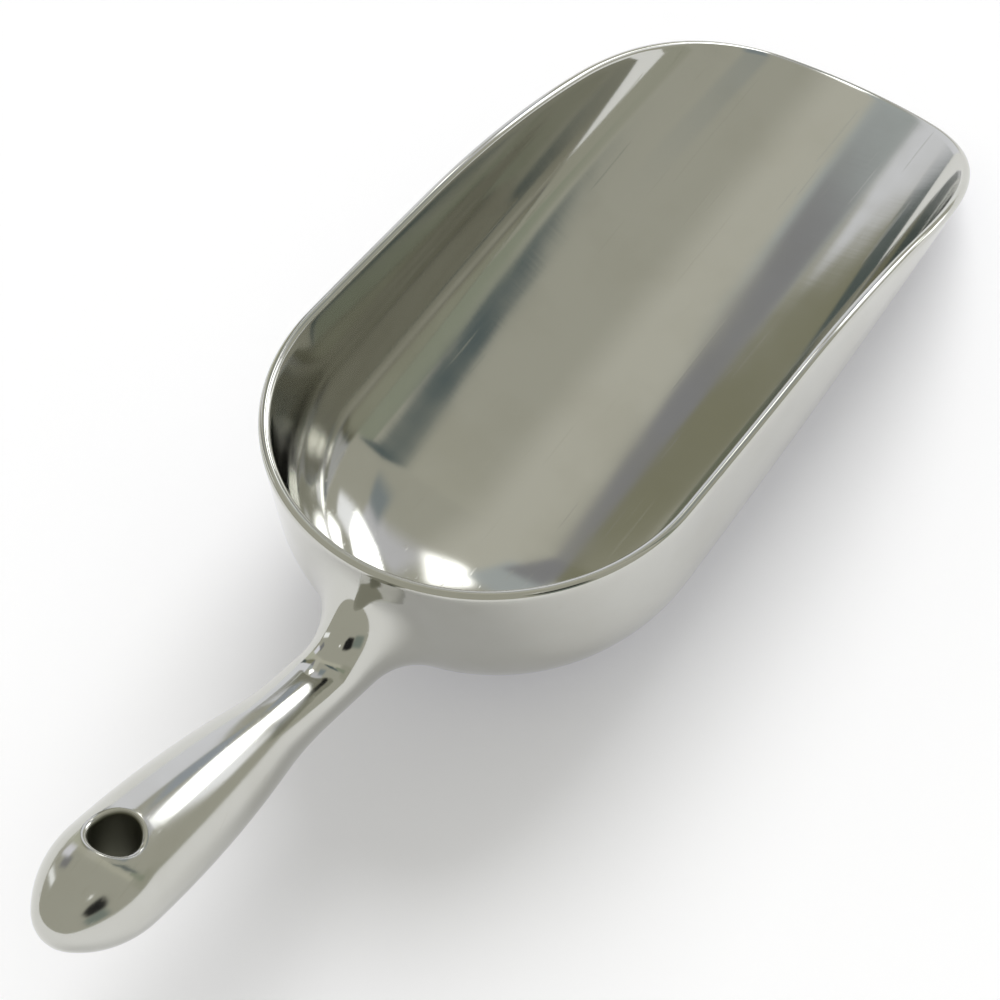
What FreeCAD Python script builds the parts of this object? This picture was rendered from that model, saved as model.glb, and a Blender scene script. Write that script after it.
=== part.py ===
import FreeCAD, Part
import math
import os
import Sketcher

# Utility scoop: a polished aluminium casting, with a round-backed trough for a bowl and a solid
# grip that flares into its back wall. Millimetres. X runs along the scoop with the pouring lip
# at +X, Z is up, and Y = 0 is the plane of symmetry. The origin is on the resting plane, below
# the middle of the overall length.

os.makedirs("parts", exist_ok=True)

SIZES = (
    ("bowl_length", 233.8, "back of the rim to the tip of the lip, before the edges are rounded"),
    ("bowl_width", 114.2, "outer width at the rim, where the round back meets the straight sides"),
    ("bowl_depth", 65.5, "resting plane to the top of the rim at the back"),
    ("lip_width", 104.0, "outer width that the sides taper to at the lip, measured at rim height"),
    ("wall", 2.9, "thickness of the bowl's wall"),
    ("foot_width", 9.5, "flat strip dressed on the underside, which the bowl rests on"),
    ("base_radius", 108.7, "outside radius of the shallow bottom"),
    ("corner_radius", 33.8, "outside radius from the bottom into the side"),
    ("wall_draft", 1.0, "lean of the sides away from upright, in degrees"),
    ("rim_fall", 6.4, "fall of the straight rim towards the lip, in degrees"),
    ("mouth_radius", 239.3, "arc in side view that brings the rim down to the lip"),
    ("rim_round", 1.3, "rounding of the rim's inner and outer edges"),
    ("grip_tilt", 17.5, "rise of the grip's axis, in degrees"),
    ("grip_height", 31.1, "height of the grip's axis where it meets the back of the rim"),
    ("neck_radius", 8.6, "radius of the neck at its narrowest"),
    ("neck_place", 26.2, "distance along the grip's axis to the narrowest neck"),
    ("root_round", 17.0, "rounding that flares the neck into the back wall"),
    ("neck_hollow", 106.5, "hollow arc that leads from the neck into the grip"),
    ("grip_radius", 14.5, "radius of the grip at its fullest"),
    ("grip_tail", 14.0, "from the grip's fullest place to the centre of its rounded end"),
    ("grip_length", 119.0, "distance along the grip's axis to its end"),
    ("end_radius", 9.0, "rounding of the grip's end"),
    ("hole_radius", 5.9, "radius of the hang hole"),
    ("hole_inset", 23.4, "from the grip's end to the hang hole's axis"),
    ("hole_round", 1.2, "rounding of the hang hole's edges"),
)

HEADROOM = 14.0      # extra wall above the rim, cut away with the mouth
OVERRUN = 30.0       # how far a cutting outline runs past the piece that it trims
TIP_OVERRUN = 1.0    # how far the sides and the rim's arc run on past the tip of the lip
SIDE_STATIONS = 5    # sections of the tapered sides
EDGE_SAMPLES = 7     # points tried on an edge to tell whether it is to be rounded
ON_EDGE = 0.01       # how near such a point has to be

# Sketcher's numbers for a sketch's own axes and for the points of a line or an arc
HORIZONTAL, VERTICAL = -1, -2
START, END, CENTRE = 1, 2, 3


def make_sheet(doc):
    """Spreadsheet of the driving sizes, one alias to a row."""
    sheet = doc.addObject("Spreadsheet::Sheet", "sizes")
    for row, (name, value, meaning) in enumerate(SIZES, start=1):
        sheet.set(f"A{row}", name)
        sheet.set(f"B{row}", str(value))
        sheet.set(f"C{row}", meaning)
        sheet.setAlias(f"B{row}", name)
    doc.recompute()
    return sheet


def new_sketch(body, name, role, offsets=None):
    """Sketch on one of the body's origin planes, moved by offsets tied to the sheet."""
    sketch = body.newObject("Sketcher::SketchObject", name)
    plane = next(item for item in body.Origin.OriginFeatures if item.Role == role)
    sketch.AttachmentSupport = (plane, [""])
    sketch.MapMode = "FlatFace"
    for path, expression in (offsets or {}).items():
        sketch.setExpression(f"AttachmentOffset.{path}", expression)
    return sketch


def bind(sketch, expression, kind, *places):
    """Adds a dimension to a sketch and ties it to the sheet."""
    value = sketch.evalExpression(expression)
    value = getattr(value, "Value", value)
    if kind == "Angle":
        value = math.radians(value)
    index = sketch.addConstraint(Sketcher.Constraint(kind, *places, value))
    sketch.setExpression(f"Constraints[{index}]", expression)


def arc(centre, radius, first, last):
    """Arc run anticlockwise between two angles in radians."""
    circle = Part.Circle(FreeCAD.Vector(centre[0], centre[1], 0), FreeCAD.Vector(0, 0, 1), radius)
    return Part.ArcOfCircle(circle, first, last)


def line(first, last):
    """Straight run between two points of a sketch."""
    return Part.LineSegment(FreeCAD.Vector(*first, 0), FreeCAD.Vector(*last, 0))


def join(sketch, kind, pairs):
    """Joins curve ends in pairs, as Coincident, Tangent or Perpendicular."""
    for pair in pairs:
        sketch.addConstraint(Sketcher.Constraint(kind, *pair))


class Wall:
    """The bowl's cross-section at one station: shallow base, corner and leaning side.

    The inside face lies one wall thickness within the outside one. The taper is the share of
    the narrowing towards the lip that is reached at this station.
    """

    def __init__(self, size, taper, inner):
        self.inset = "sizes.wall" if inner else "0"
        self.half_width = f"(sizes.bowl_width - (sizes.bowl_width - sizes.lip_width) * {taper}) / 2"
        gap = size["wall"] if inner else 0.0
        half_width = (size["bowl_width"] - (size["bowl_width"] - size["lip_width"]) * taper) / 2
        draft = math.radians(size["wall_draft"])
        self.draft = draft
        self.base = size["base_radius"] - gap
        self.corner = size["corner_radius"] - gap
        self.base_centre = (0, math.sqrt(size["base_radius"] ** 2 - (size["foot_width"] / 2) ** 2))
        self.keel = self.base_centre[1] - self.base
        self.top = size["bowl_depth"] + HEADROOM
        self.top_half = half_width - gap / math.cos(draft) + HEADROOM * math.tan(draft)
        self.place_corner()

    def place_corner(self):
        """The corner touches the side and the base, so its centre is where two loci cross."""
        lean = (-math.sin(self.draft), -math.cos(self.draft))
        start = (self.top_half - self.corner * math.cos(self.draft),
                 self.top + self.corner * math.sin(self.draft))
        off = (start[0] - self.base_centre[0], start[1] - self.base_centre[1])
        along = off[0] * lean[0] + off[1] * lean[1]
        reach = self.base - self.corner
        down = -along + math.sqrt(along ** 2 - off[0] ** 2 - off[1] ** 2 + reach ** 2)
        self.corner_centre = (start[0] + down * lean[0], start[1] + down * lean[1])
        self.turn = math.atan2(self.corner_centre[0] - self.base_centre[0],
                               self.base_centre[1] - self.corner_centre[1])
        self.side_foot = (self.corner_centre[0] + self.corner * math.cos(self.draft),
                          self.corner_centre[1] - self.corner * math.sin(self.draft))

    def dimensions(self, sketch, base, corner, side):
        """Sizes that the half and the full outline share."""
        inset = self.inset
        top_half = (f"{self.half_width} - {inset} / cos(sizes.wall_draft * 1 deg)"
                    f" + {HEADROOM} * tan(sizes.wall_draft * 1 deg)")
        bind(sketch, f"sizes.base_radius - {inset}", "Radius", base)
        bind(sketch, f"sizes.corner_radius - {inset}", "Radius", corner)
        join(sketch, "PointOnObject", [(base, CENTRE, VERTICAL)])
        bind(sketch, "sqrt(sizes.base_radius ^ 2 - (sizes.foot_width / 2) ^ 2)", "DistanceY",
             HORIZONTAL, START, base, CENTRE)
        bind(sketch, "90 deg - sizes.wall_draft * 1 deg", "Angle", side)
        bind(sketch, f"sizes.bowl_depth + {HEADROOM}", "DistanceY", HORIZONTAL, START, side, END)
        bind(sketch, top_half, "DistanceX", HORIZONTAL, START, side, END)

    def side_line(self, mirror=1):
        """Side of the wall from its foot to its top, on the right or mirrored."""
        return line((mirror * self.side_foot[0], self.side_foot[1]), (mirror * self.top_half, self.top))

    def half_outline(self, sketch):
        """Closed outline of one half, which turns about the sketch's upright axis."""
        down = -math.pi / 2
        base = sketch.addGeometry(arc(self.base_centre, self.base, down, down + self.turn))
        corner = sketch.addGeometry(arc(self.corner_centre, self.corner, down + self.turn, -self.draft))
        side = sketch.addGeometry(self.side_line())
        top = sketch.addGeometry(line((self.top_half, self.top), (0, self.top)))
        middle = sketch.addGeometry(line((0, self.top), (0, self.keel)))
        join(sketch, "Tangent", [(base, END, corner, START), (corner, END, side, START)])
        join(sketch, "Coincident", [(side, END, top, START), (top, END, middle, START),
                                    (middle, END, base, START)])
        join(sketch, "Horizontal", [(top,)])
        join(sketch, "PointOnObject", [(base, START, VERTICAL), (top, END, VERTICAL)])
        self.dimensions(sketch, base, corner, side)

    def full_outline(self, sketch):
        """Closed outline of both halves, for a loft along the scoop."""
        down = -math.pi / 2
        left_centre = (-self.corner_centre[0], self.corner_centre[1])
        base = sketch.addGeometry(arc(self.base_centre, self.base, down - self.turn, down + self.turn))
        corner = sketch.addGeometry(arc(self.corner_centre, self.corner, down + self.turn, -self.draft))
        side = sketch.addGeometry(self.side_line())
        top = sketch.addGeometry(line((self.top_half, self.top), (-self.top_half, self.top)))
        left_side = sketch.addGeometry(self.side_line(mirror=-1))
        left_corner = sketch.addGeometry(arc(left_centre, self.corner, math.pi + self.draft,
                                             3 * math.pi / 2 - self.turn))
        join(sketch, "Tangent", [(base, END, corner, START), (corner, END, side, START),
                                 (left_side, START, left_corner, START),
                                 (left_corner, END, base, START)])
        join(sketch, "Coincident", [(side, END, top, START), (top, END, left_side, END)])
        join(sketch, "Symmetric", [(side, END, left_side, END, VERTICAL)])
        join(sketch, "Equal", [(corner, left_corner)])
        bind(sketch, "90 deg + sizes.wall_draft * 1 deg", "Angle", left_side)
        self.dimensions(sketch, base, corner, side)


def trough(body, size, inner):
    """Round back and tapered sides of the bowl: the outside adds them, the inside cuts them."""
    name, turn_type, loft_type = "outer", "PartDesign::Revolution", "PartDesign::AdditiveLoft"
    if inner:
        name, turn_type, loft_type = "inner", "PartDesign::Groove", "PartDesign::SubtractiveLoft"
    back = new_sketch(body, f"{name}_back", "YZ_Plane", {"Base.z": "sizes.bowl_width / 2"})
    Wall(size, 0, inner).half_outline(back)
    turn = body.newObject(turn_type, f"{name}_round_back")
    turn.Profile = back
    turn.ReferenceAxis = (back, ["V_Axis"])
    turn.Angle = 180
    sections = []
    for station in range(SIDE_STATIONS):
        part = station / (SIDE_STATIONS - 1)
        straight = f"(sizes.bowl_length + {TIP_OVERRUN} - sizes.bowl_width / 2)"
        place = f"sizes.bowl_width / 2 + {straight} * {part}"
        sketch = new_sketch(body, f"{name}_side_{station}", "YZ_Plane", {"Base.z": place})
        Wall(size, part ** 2, inner).full_outline(sketch)
        sections.append(sketch)
    sides = body.newObject(loft_type, f"{name}_sides")
    sides.Profile = sections[0]
    sides.Sections = sections[1:]


def turn_sketch(sketch, axis, expression):
    """Turns a sketch within its attachment about one of its own axes."""
    offset = sketch.AttachmentOffset
    offset.Rotation = FreeCAD.Rotation(FreeCAD.Vector(*axis), 1.0)
    sketch.AttachmentOffset = offset
    sketch.setExpression("AttachmentOffset.Rotation.Angle", expression)


def edges_where(shape, test):
    """Names of the curved edges on which every sampled point passes the test."""
    names = []
    for number, edge in enumerate(shape.Edges, start=1):
        if edge.Degenerated or edge.Curve.TypeId == "Part::GeomLine":
            continue
        if all(test(point) for point in edge.discretize(EDGE_SAMPLES)):
            names.append(f"Edge{number}")
    return names


def rounding(body, name, base, edges, expression):
    """Fillet of the named edges, its radius tied to the sheet."""
    fillet = body.newObject("PartDesign::Fillet", name)
    fillet.Base = (base, edges)
    fillet.setExpression("Radius", expression)


def off_axis(point, start, axis):
    """Distance of a point along an axis, and its distance from the axis."""
    along = (point - start).dot(axis)
    return along, (point - start - axis * along).Length


def circle_sketch(sketch, place, radius_name, size):
    """One circle on the sketch's level axis, its radius tied to the sheet."""
    outline = Part.Circle(FreeCAD.Vector(place, 0, 0), FreeCAD.Vector(0, 0, 1), size[radius_name])
    circle = sketch.addGeometry(outline)
    join(sketch, "PointOnObject", [(circle, CENTRE, HORIZONTAL)])
    bind(sketch, f"sizes.{radius_name}", "Radius", circle)
    return circle


def neck(body, size):
    """Round stub from inside the back wall out to the narrowest neck."""
    along = {"Base.z": "-sizes.neck_place * cos(sizes.grip_tilt * 1 deg)",
             "Base.y": "sizes.grip_height + sizes.neck_place * sin(sizes.grip_tilt * 1 deg)"}
    sketch = new_sketch(body, "neck_section", "YZ_Plane", along)
    turn_sketch(sketch, (1, 0, 0), "sizes.grip_tilt * 1 deg")
    circle = circle_sketch(sketch, 0, "neck_radius", size)
    join(sketch, "PointOnObject", [(circle, CENTRE, VERTICAL)])
    stub = body.newObject("PartDesign::Pad", "neck")
    stub.Profile = sketch
    stub.setExpression("Length", "sizes.neck_place + sizes.corner_radius / 2")
    return stub


def root_flare(body, size, stub):
    """Flare between the neck and the back wall, all round the edge where they meet."""
    body.Document.recompute()
    start, axis = grip_axis(size)

    def where_they_meet(point):
        along, away = off_axis(point, start, axis)
        return abs(away - size["neck_radius"]) < ON_EDGE and along < size["neck_place"] - ON_EDGE

    rounding(body, "root_flare", stub, edges_where(stub.Shape, where_they_meet), "sizes.root_round")


class Rim:
    """The rim in side view: a straight fall from the back, then one arc down to the lip."""

    def __init__(self, size):
        fall = math.radians(size["rim_fall"])
        self.length, self.depth, self.radius = size["bowl_length"], size["bowl_depth"], size["mouth_radius"]
        inward = (-math.sin(fall), -math.cos(fall))
        below = self.length * inward[0] - self.depth * inward[1]
        run = self.length * math.cos(fall) + self.depth * math.sin(fall)
        straight = run - math.sqrt(below * (2 * self.radius - below))
        self.fall = fall
        self.touch = (straight * math.cos(fall), self.depth - straight * math.sin(fall))
        self.centre = (self.touch[0] + self.radius * inward[0], self.touch[1] + self.radius * inward[1])

    def height(self, x):
        """Height of the rim at a distance from its back."""
        if x < self.touch[0]:
            return self.depth - x * math.tan(self.fall)
        return self.centre[1] + math.sqrt(max(self.radius ** 2 - (x - self.centre[0]) ** 2, 0))

    def outline(self, sketch):
        """Closed outline of all that lies above the rim and beyond the lip."""
        back = (-OVERRUN, self.depth + OVERRUN * math.tan(self.fall))
        top = self.depth + HEADROOM + OVERRUN
        low = self.centre[1] + TIP_OVERRUN
        low_x = self.centre[0] + math.sqrt(self.radius ** 2 - low ** 2)
        lip_angle = math.atan2(-low, low_x - self.centre[0])
        corners = [(low_x, -TIP_OVERRUN), (low_x, -OVERRUN), (self.length + OVERRUN, -OVERRUN),
                   (self.length + OVERRUN, top), (-OVERRUN, top), back]
        rim = sketch.addGeometry(line(back, self.touch))
        dip = sketch.addGeometry(arc(self.centre, self.radius, lip_angle, math.pi / 2 - self.fall))
        front, under, nose, lid, rear = [sketch.addGeometry(line(*ends))
                                         for ends in zip(corners, corners[1:])]
        tip = sketch.addGeometry(Part.Point(FreeCAD.Vector(self.length, 0, 0)), True)
        join(sketch, "Tangent", [(rim, END, dip, END)])
        join(sketch, "Coincident", [(dip, START, front, START), (front, END, under, START),
                                    (under, END, nose, START), (nose, END, lid, START),
                                    (lid, END, rear, START), (rear, END, rim, START)])
        join(sketch, "Horizontal", [(under,), (lid,)])
        join(sketch, "Vertical", [(front,), (nose,), (rear,)])
        join(sketch, "PointOnObject", [(tip, START, HORIZONTAL), (tip, START, dip)])
        origin = (HORIZONTAL, START)
        bind(sketch, "sizes.mouth_radius", "Radius", dip)
        bind(sketch, "-sizes.rim_fall * 1 deg", "Angle", rim)
        bind(sketch, "sizes.bowl_length", "DistanceX", *origin, tip, START)
        bind(sketch, f"-{TIP_OVERRUN}", "DistanceY", *origin, dip, START)
        bind(sketch, f"-{OVERRUN}", "DistanceX", *origin, rim, START)
        bind(sketch, f"sizes.bowl_depth + {OVERRUN} * tan(sizes.rim_fall * 1 deg)", "DistanceY",
             *origin, rim, START)
        bind(sketch, f"-{OVERRUN}", "DistanceY", *origin, under, END)
        bind(sketch, f"sizes.bowl_length + {OVERRUN}", "DistanceX", *origin, under, END)
        bind(sketch, f"sizes.bowl_depth + {HEADROOM + OVERRUN}", "DistanceY", *origin, lid, START)


def mouth(body, size):
    """Cuts the wall down to the rim and rounds both of the rim's edges."""
    rim = Rim(size)
    sketch = new_sketch(body, "mouth_outline", "XZ_Plane")
    rim.outline(sketch)
    cut = body.newObject("PartDesign::Pocket", "mouth")
    cut.Profile = sketch
    cut.Type = "ThroughAll"
    cut.SideType = "Symmetric"
    body.Document.recompute()

    def on_rim(point):
        return abs(point.z - rim.height(point.x)) < ON_EDGE

    rounding(body, "rim_rounding", cut, edges_where(cut.Shape, on_rim), "sizes.rim_round")


def foot(body, size):
    """Dresses the underside flat on the resting plane."""
    reach = size["bowl_width"] / 2 + OVERRUN
    corners = [(-OVERRUN, -reach), (size["bowl_length"] + OVERRUN, -reach),
               (size["bowl_length"] + OVERRUN, reach), (-OVERRUN, reach), (-OVERRUN, -reach)]
    sketch = new_sketch(body, "foot_outline", "XY_Plane")
    right, front, left, rear = [sketch.addGeometry(line(*ends)) for ends in zip(corners, corners[1:])]
    join(sketch, "Coincident", [(right, END, front, START), (front, END, left, START),
                                (left, END, rear, START), (rear, END, right, START)])
    join(sketch, "Horizontal", [(right,), (left,)])
    join(sketch, "Vertical", [(front,), (rear,)])
    origin = (HORIZONTAL, START)
    half_width = f"(sizes.bowl_width / 2 + {OVERRUN})"
    bind(sketch, f"-{OVERRUN}", "DistanceX", *origin, rear, END)
    bind(sketch, f"sizes.bowl_length + {OVERRUN}", "DistanceX", *origin, front, END)
    bind(sketch, f"-{half_width}", "DistanceY", *origin, right, START)
    bind(sketch, half_width, "DistanceY", *origin, left, START)
    cut = body.newObject("PartDesign::Pocket", "foot")
    cut.Profile = sketch
    cut.Type = "ThroughAll"


def grip_axis(size):
    """Where the grip's axis meets the back of the rim, and the way it runs out from there."""
    tilt = math.radians(size["grip_tilt"])
    return FreeCAD.Vector(0, 0, size["grip_height"]), FreeCAD.Vector(-math.cos(tilt), 0, math.sin(tilt))


def grip_outline(sketch, size):
    """Half outline of the grip along its axis: hollow neck, long flank, belly and round end."""
    neck_place, neck_radius = size["neck_place"], size["neck_radius"]
    length, end_radius, tail = size["grip_length"], size["end_radius"], size["grip_tail"]
    full_place, full_radius = length - end_radius - tail, size["grip_radius"]
    hollow = size["neck_hollow"]
    run, rise = full_place - neck_place, full_radius - neck_radius
    reach = (run ** 2 + rise ** 2) / (2 * rise)
    flank = reach - hollow
    belly = (tail ** 2 + full_radius ** 2 - end_radius ** 2) / (2 * (full_radius - end_radius))
    hollow_turn = math.atan2(rise - reach, run)
    end_turn = math.atan2(belly - full_radius, tail)
    joint = sketch.addGeometry(line((neck_place, 0), (neck_place, neck_radius)))
    curves = [arc((neck_place, neck_radius + hollow), hollow, -math.pi / 2, hollow_turn),
              arc((full_place, full_radius - flank), flank, math.pi / 2, math.pi + hollow_turn),
              arc((full_place, full_radius - belly), belly, end_turn, math.pi / 2),
              arc((length - end_radius, 0), end_radius, 0, end_turn)]
    hollow_arc, flank_arc, belly_arc, end_arc = [sketch.addGeometry(curve) for curve in curves]
    axis = sketch.addGeometry(line((length, 0), (neck_place, 0)))
    join(sketch, "Tangent", [(hollow_arc, END, flank_arc, END), (flank_arc, START, belly_arc, END),
                             (belly_arc, START, end_arc, END)])
    join(sketch, "Coincident", [(joint, END, hollow_arc, START), (axis, START, end_arc, START),
                                (axis, END, joint, START)])
    join(sketch, "Vertical", [(joint,), (hollow_arc, START, hollow_arc, CENTRE),
                              (flank_arc, START, flank_arc, CENTRE)])
    join(sketch, "PointOnObject", [(joint, START, HORIZONTAL), (end_arc, START, HORIZONTAL),
                                   (end_arc, CENTRE, HORIZONTAL)])
    origin = (HORIZONTAL, START)
    bind(sketch, "sizes.neck_place", "DistanceX", *origin, joint, START)
    bind(sketch, "sizes.neck_radius", "DistanceY", joint, START, joint, END)
    bind(sketch, "sizes.neck_hollow", "Radius", hollow_arc)
    bind(sketch, "sizes.grip_tail", "DistanceX", flank_arc, START, end_arc, CENTRE)
    bind(sketch, "sizes.grip_radius", "DistanceY", *origin, flank_arc, START)
    bind(sketch, "sizes.end_radius", "Radius", end_arc)
    bind(sketch, "sizes.grip_length", "DistanceX", *origin, end_arc, START)


def hang_hole(body, size):
    """Hole straight through the grip at its fullest, with rounded edges."""
    place = size["grip_length"] - size["hole_inset"]
    sketch = new_sketch(body, "hole_outline", "XY_Plane", {"Base.z": "sizes.grip_height"})
    turn_sketch(sketch, (0, 1, 0), "sizes.grip_tilt * 1 deg")
    circle = circle_sketch(sketch, -place, "hole_radius", size)
    bind(sketch, "-(sizes.grip_length - sizes.hole_inset)", "DistanceX", HORIZONTAL, START, circle, CENTRE)
    cut = body.newObject("PartDesign::Pocket", "hang_hole")
    cut.Profile = sketch
    cut.Type = "ThroughAll"
    cut.SideType = "Symmetric"
    body.Document.recompute()
    start, along = grip_axis(size)
    middle = start + along * place
    through = FreeCAD.Vector(along.z, 0, -along.x)

    def on_hole(point):
        return abs(off_axis(point, middle, through)[1] - size["hole_radius"]) < ON_EDGE

    rounding(body, "hole_rounding", cut, edges_where(cut.Shape, on_hole), "sizes.hole_round")


def make_bowl(doc, size):
    """Bowl casting: walled trough, flared root behind it and cut-down rim."""
    body = doc.addObject("PartDesign::Body", "bowl")
    trough(body, size, inner=False)
    stub = neck(body, size)
    root_flare(body, size, stub)
    trough(body, size, inner=True)
    mouth(body, size)
    foot(body, size)
    return body


def make_handle(doc, size):
    """Solid grip, turned about its own axis, with the hang hole through it."""
    body = doc.addObject("PartDesign::Body", "handle")
    sketch = new_sketch(body, "grip_outline", "XZ_Plane", {"Base.y": "sizes.grip_height"})
    turn_sketch(sketch, (0, 0, 1), "180 deg - sizes.grip_tilt * 1 deg")
    grip_outline(sketch, size)
    grip = body.newObject("PartDesign::Revolution", "grip")
    grip.Profile = sketch
    grip.ReferenceAxis = (sketch, ["H_Axis"])
    grip.Angle = 360
    hang_hole(body, size)
    return body


def check(doc, bodies):
    """Stops the build if any step failed or any piece is not one valid solid."""
    for item in doc.Objects:
        if "Invalid" in item.State or "Error" in item.State:
            raise RuntimeError(f"{item.Name} failed: {item.State}")
    for body in bodies:
        if body.Shape.isNull() or not body.Shape.isValid() or len(body.Shape.Solids) != 1:
            raise RuntimeError(f"{body.Label} is not one valid solid")


def main():
    """Builds both pieces, centres them on the origin and writes one file for each."""
    doc = FreeCAD.newDocument("utility_scoop")
    sheet = make_sheet(doc)
    size = {name: float(sheet.get(name)) for name, value, meaning in SIZES}
    bodies = [make_bowl(doc, size), make_handle(doc, size)]
    doc.recompute()
    check(doc, bodies)
    lip, grip_end = [body.Shape.optimalBoundingBox() for body in bodies]
    middle = FreeCAD.Vector((lip.XMax + grip_end.XMin) / 2, 0, 0)
    for body in bodies:
        body.Placement = FreeCAD.Placement(-middle, FreeCAD.Rotation())
    doc.recompute()
    check(doc, bodies)
    for body in bodies:
        body.Shape.exportStep(f"parts/{body.Label}.step")


main()
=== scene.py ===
import math

import bmesh
import bpy
import numpy as np
from mathutils import Matrix, Vector


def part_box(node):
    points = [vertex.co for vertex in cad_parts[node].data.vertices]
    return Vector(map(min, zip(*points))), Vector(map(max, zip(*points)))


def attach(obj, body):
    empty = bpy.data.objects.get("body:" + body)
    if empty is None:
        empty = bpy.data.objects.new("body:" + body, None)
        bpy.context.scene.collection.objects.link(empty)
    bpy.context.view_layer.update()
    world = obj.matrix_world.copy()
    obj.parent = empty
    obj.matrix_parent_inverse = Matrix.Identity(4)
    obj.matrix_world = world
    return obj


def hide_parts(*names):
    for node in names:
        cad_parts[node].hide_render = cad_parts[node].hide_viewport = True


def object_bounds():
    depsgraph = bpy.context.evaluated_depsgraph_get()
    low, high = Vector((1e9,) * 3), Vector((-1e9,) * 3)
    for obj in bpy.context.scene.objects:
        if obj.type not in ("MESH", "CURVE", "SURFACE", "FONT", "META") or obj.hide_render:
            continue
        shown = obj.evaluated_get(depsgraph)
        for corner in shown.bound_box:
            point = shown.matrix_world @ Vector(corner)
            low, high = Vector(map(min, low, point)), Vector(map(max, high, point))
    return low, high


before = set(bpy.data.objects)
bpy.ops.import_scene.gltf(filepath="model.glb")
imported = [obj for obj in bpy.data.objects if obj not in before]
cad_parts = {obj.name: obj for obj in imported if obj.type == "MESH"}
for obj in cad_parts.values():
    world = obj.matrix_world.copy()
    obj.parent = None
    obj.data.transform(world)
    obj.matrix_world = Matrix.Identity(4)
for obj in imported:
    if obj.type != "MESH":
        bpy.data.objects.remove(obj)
cad_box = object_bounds()

# A polished cast aluminium scoop. The pieces are worked out in millimetres, with x = 0 at the back
# of the rim and z = 0 on the resting plane, and moved to the frame's own origin as they are made.
MM = 0.001

# The bowl
BOWL_LENGTH = 233.8      # back of the rim to the tip of the lip
BOWL_WIDTH = 114.2       # outside, where the round back meets the sides
BOWL_DEPTH = 65.5        # resting plane to the back of the rim
LIP_WIDTH = 104.0        # outside, at the lip
WALL = 2.9
FOOT_WIDTH = 9.5         # flat strip on the underside
BASE_RADIUS = 108.7
CORNER_RADIUS = 33.8
WALL_DRAFT = math.radians(1.0)
RIM_FALL = math.radians(6.4)
MOUTH_RADIUS = 239.3     # side-view arc of the rim, down to the lip
HEADROOM = 14.0          # height above the rim at which the taper is set
TAPER_SPARE = 1.0        # and distance beyond the lip at which it is full

# The grip
GRIP_TILT = math.radians(17.5)
GRIP_HEIGHT = 31.1       # of its axis, at the back of the rim
NECK_RADIUS = 8.6
NECK_PLACE = 26.2        # places along the grip's axis
ROOT_ROUND = 17.0        # flare between the neck and the back wall
NECK_HOLLOW = 106.5
GRIP_RADIUS = 14.5
GRIP_TAIL = 14.0         # from the fullest place to the centre of the rounded end
GRIP_LENGTH = 119.0
END_RADIUS = 9.0
HOLE_RADIUS = 5.9
HOLE_INSET = 23.4        # from the grip's end
HOLE_ROUND = 1.2

# How finely the meshes are divided
RIB_ROWS = 40            # from the keel to the rim
RIM_ROWS = 12            # over the rounded rim
SIDE_COLUMNS = 104       # along one side of the rim, from the lip to the round back
BACK_COLUMNS = 46        # along half of the round back
SPREAD_ROWS = 4          # from an opening's edge to the rounding in it
ROOT_ROWS = 20           # over the flare
LIP_FAN = 46.0           # ribs fan out from a point on the keel this far behind the lip
GRIP_COLUMNS = 96
GRIP_STEP = 1.9          # between rings along the grip
HOLE_MARGIN = 1.6        # least distance from the hole's rounding to the grip's own rings
HOLE_ROUND_ROWS = 8      # over the hole's rounded edge
BORE_ROWS = 10           # in the bore
SHARP = math.radians(50)
WELD = 0.0005            # points nearer than this become one

# How closely the curves are worked out
CUT_STEPS = 4000         # along the line in which the mouth cuts the wall
SETTLING_ROUNDS = 8      # rounds after which the rim's place no longer moves
HALVINGS = 50
SLOPE_STEP = 0.5         # distance over which the taper's slope is measured

HALF = BOWL_WIDTH / 2
BASE_HEIGHT = math.sqrt(BASE_RADIUS ** 2 - (FOOT_WIDTH / 2) ** 2)
GRIP_PLACE = GRIP_LENGTH - END_RADIUS - GRIP_TAIL
HOLE_PLACE = GRIP_LENGTH - HOLE_INSET
AXIS_START = np.array([0.0, 0.0, GRIP_HEIGHT])
AXIS = np.array([-math.cos(GRIP_TILT), 0.0, math.sin(GRIP_TILT)])
AXIS_UP = np.array([math.sin(GRIP_TILT), 0.0, math.cos(GRIP_TILT)])
ACROSS = np.array([0.0, 1.0, 0.0])

GRIP_REACH = (GRIP_LENGTH - END_RADIUS) * math.cos(GRIP_TILT) + END_RADIUS
SHIFT = np.array([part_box("handle")[0].x / MM + GRIP_REACH, 0.0, 0.0])
LIP_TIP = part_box("bowl")[1].x / MM - SHIFT[0]

# The CAD's own box, which also cuts the foot flat.
LOWEST, HIGHEST = [np.array(corner) / MM - SHIFT for corner in cad_box]


# Walls of the bowl

def taper(x):
    """Outside half width at rim height, at a distance along the bowl."""
    part = np.clip((x - HALF) / (BOWL_LENGTH + TAPER_SPARE - HALF), 0, None)
    return HALF - (BOWL_WIDTH - LIP_WIDTH) / 2 * part ** 2


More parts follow.
